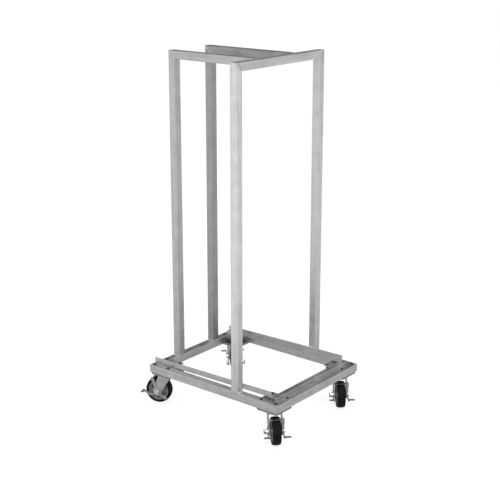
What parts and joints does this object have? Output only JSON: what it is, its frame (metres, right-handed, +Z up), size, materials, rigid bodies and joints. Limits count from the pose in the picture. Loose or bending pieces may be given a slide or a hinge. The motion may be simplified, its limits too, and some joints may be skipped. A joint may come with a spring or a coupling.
{
  "type": "bun pan dolly",
  "caption": "Tall open pan dolly: a low square-tube base on swivel casters with brakes, sloped load ledges and an upright tube cage braced across the top.",
  "frame": {"origin": "on the floor under the middle of the base", "axes": "+Z up, +Y from the open loading end to the back, +X to the right seen from the loading end"},
  "size_m": [0.7546, 0.899, 1.6638],
  "materials": {
    "frame_aluminium": "brushed mill finish",
    "zinc_steel": "bright zinc plate",
    "wheel_rim": "moulded, satin",
    "wheel_tyre": "moulded rubber, satin"
  },
  "bodies": {
    "frame": {"base_rail_left": "frame_aluminium", "base_rail_right": "frame_aluminium", "base_rail_front": "frame_aluminium", "base_rail_back": "frame_aluminium", "corner_gussets": "frame_aluminium", "ledge_left": "frame_aluminium", "ledge_right": "frame_aluminium", "front_riser": "frame_aluminium", "upright_front_left": "frame_aluminium", "upright_front_right": "frame_aluminium", "upright_back_left": "frame_aluminium", "upright_back_right": "frame_aluminium", "top_cross_bar": "frame_aluminium", "top_bar_left": "frame_aluminium", "top_bar_right": "frame_aluminium", "caster_bolts": "zinc_steel", "caster_nuts": "zinc_steel", "spacer_sleeves": "zinc_steel", "caster_front_left_plate": "zinc_steel", "caster_front_left_race": "zinc_steel", "caster_front_left_kingpin": "zinc_steel", "caster_front_right_plate": "zinc_steel", "caster_front_right_race": "zinc_steel", "caster_front_right_kingpin": "zinc_steel", "caster_back_left_plate": "zinc_steel", "caster_back_left_race": "zinc_steel", "caster_back_left_kingpin": "zinc_steel", "caster_back_right_plate": "zinc_steel", "caster_back_right_race": "zinc_steel", "caster_back_right_kingpin": "zinc_steel"},
    "front_left_fork": {"caster_front_left_fork": "zinc_steel", "caster_front_left_axle_bolt": "zinc_steel", "caster_front_left_axle_nut": "zinc_steel", "caster_front_left_bushing": "zinc_steel"},
    "front_left_wheel": {"caster_front_left_rim": "wheel_rim", "caster_front_left_tyre": "wheel_tyre"},
    "front_left_brake": {"caster_front_left_brake": "zinc_steel"},
    "front_right_fork": {"caster_front_right_fork": "zinc_steel", "caster_front_right_axle_bolt": "zinc_steel", "caster_front_right_axle_nut": "zinc_steel", "caster_front_right_bushing": "zinc_steel"},
    "front_right_wheel": {"caster_front_right_rim": "wheel_rim", "caster_front_right_tyre": "wheel_tyre"},
    "front_right_brake": {"caster_front_right_brake": "zinc_steel"},
    "back_left_fork": {"caster_back_left_fork": "zinc_steel", "caster_back_left_axle_bolt": "zinc_steel", "caster_back_left_axle_nut": "zinc_steel", "caster_back_left_bushing": "zinc_steel"},
    "back_left_wheel": {"caster_back_left_rim": "wheel_rim", "caster_back_left_tyre": "wheel_tyre"},
    "back_left_brake": {"caster_back_left_brake": "zinc_steel"},
    "back_right_fork": {"caster_back_right_fork": "zinc_steel", "caster_back_right_axle_bolt": "zinc_steel", "caster_back_right_axle_nut": "zinc_steel", "caster_back_right_bushing": "zinc_steel"},
    "back_right_wheel": {"caster_back_right_rim": "wheel_rim", "caster_back_right_tyre": "wheel_tyre"},
    "back_right_brake": {"caster_back_right_brake": "zinc_steel"}
  },
  "joints": [
    {"name": "front_left_swivel", "type": "hinge", "parent": "frame", "child": "front_left_fork", "pos_m": [-0.25295, -0.31995, 0.15875], "axis": [0, 0, 1], "continuous": true},
    {"name": "front_left_wheel_spin", "type": "hinge", "parent": "front_left_fork", "child": "front_left_wheel", "pos_m": [-0.28352, -0.3516, 0.0635], "axis": [0.7193, -0.6947, 0], "continuous": true},
    {"name": "front_left_brake_lever", "type": "hinge", "parent": "front_left_fork", "child": "front_left_brake", "pos_m": [-0.28352, -0.3516, 0.0635], "axis": [0.7193, -0.6947, 0], "range_deg": [0, 25]},
    {"name": "front_right_swivel", "type": "hinge", "parent": "frame", "child": "front_right_fork", "pos_m": [0.25295, -0.31995, 0.15875], "axis": [0, 0, 1], "continuous": true},
    {"name": "front_right_wheel_spin", "type": "hinge", "parent": "front_right_fork", "child": "front_right_wheel", "pos_m": [0.22025, -0.34939, 0.0635], "axis": [0.6691, -0.7431, 0], "continuous": true},
    {"name": "front_right_brake_lever", "type": "hinge", "parent": "front_right_fork", "child": "front_right_brake", "pos_m": [0.22025, -0.34939, 0.0635], "axis": [0.6691, -0.7431, 0], "range_deg": [0, 25]},
    {"name": "back_left_swivel", "type": "hinge", "parent": "frame", "child": "back_left_fork", "pos_m": [-0.25295, 0.31995, 0.15875], "axis": [0, 0, 1], "continuous": true},
    {"name": "back_left_wheel_spin", "type": "hinge", "parent": "back_left_fork", "child": "back_left_wheel", "pos_m": [-0.27085, 0.36015, 0.0635], "axis": [-0.9135, -0.4067, 0], "continuous": true},
    {"name": "back_left_brake_lever", "type": "hinge", "parent": "back_left_fork", "child": "back_left_brake", "pos_m": [-0.27085, 0.36015, 0.0635], "axis": [-0.9135, -0.4067, 0], "range_deg": [0, 25]},
    {"name": "back_right_swivel", "type": "hinge", "parent": "frame", "child": "back_right_fork", "pos_m": [0.25295, 0.31995, 0.15875], "axis": [0, 0, 1], "continuous": true},
    {"name": "back_right_wheel_spin", "type": "hinge", "parent": "back_right_fork", "child": "back_right_wheel", "pos_m": [0.28239, 0.35265, 0.0635], "axis": [-0.7431, 0.6691, 0], "continuous": true},
    {"name": "back_right_brake_lever", "type": "hinge", "parent": "back_right_fork", "child": "back_right_brake", "pos_m": [0.28239, 0.35265, 0.0635], "axis": [-0.7431, 0.6691, 0], "range_deg": [0, 25]}
  ]
}
